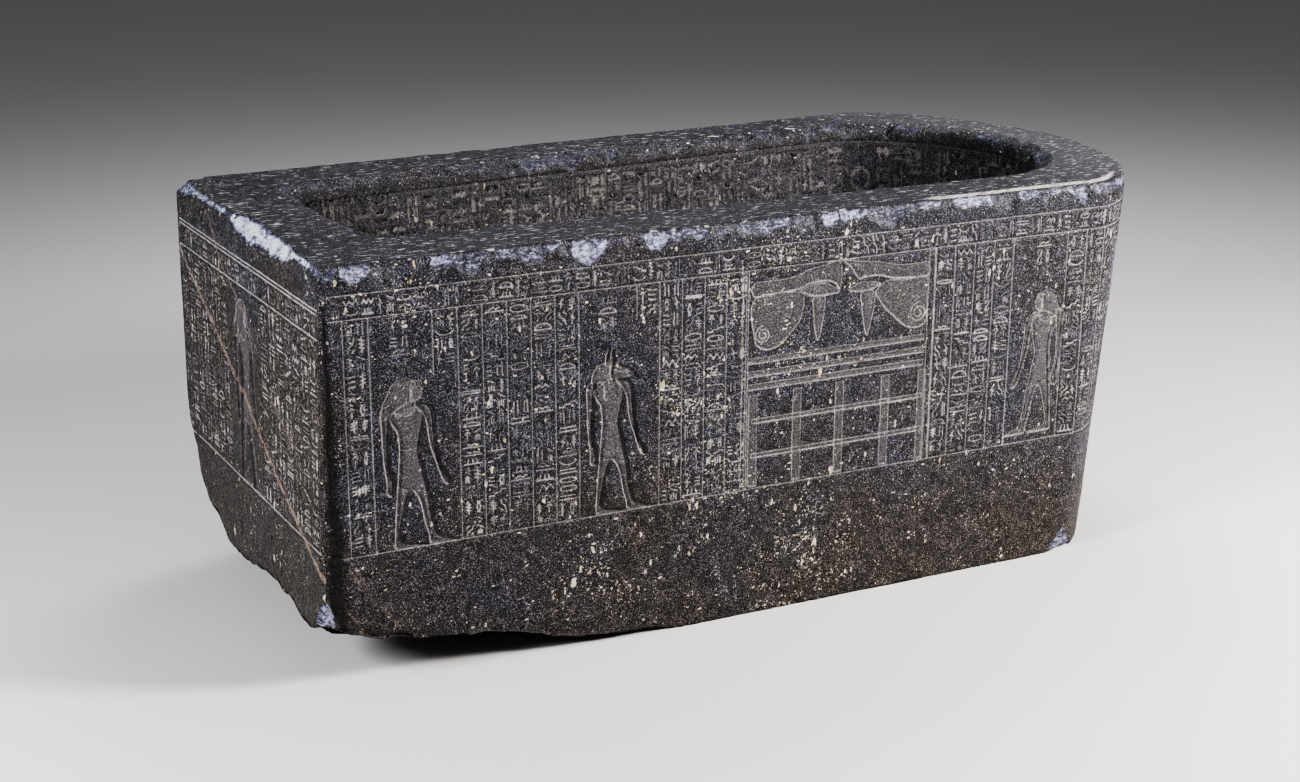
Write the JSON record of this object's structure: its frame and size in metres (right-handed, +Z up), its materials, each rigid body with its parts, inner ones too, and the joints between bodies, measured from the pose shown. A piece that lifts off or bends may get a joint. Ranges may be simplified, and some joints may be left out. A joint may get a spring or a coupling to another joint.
{
  "type": "stone sarcophagus chest",
  "caption": "Lidless hard-stone sarcophagus chest, flat at the foot and rounded at the head, with sunk-relief figures, ruled columns of strokes and a broken foot-end base.",
  "frame": {"origin": "middle of the base plane that the chest stands on", "axes": "+X along the length towards the rounded head end, +Z up out of the opening, -Y towards the near long side"},
  "size_m": [2.7635, 1.4, 1.14],
  "materials": {
    "dark_stone": "dark granular stone, smoothed, with pale flecks, tan veins and paler cut lines"
  },
  "bodies": {
    "root": {"sarcophagus_chest": "dark_stone"}
  },
  "joints": []
}
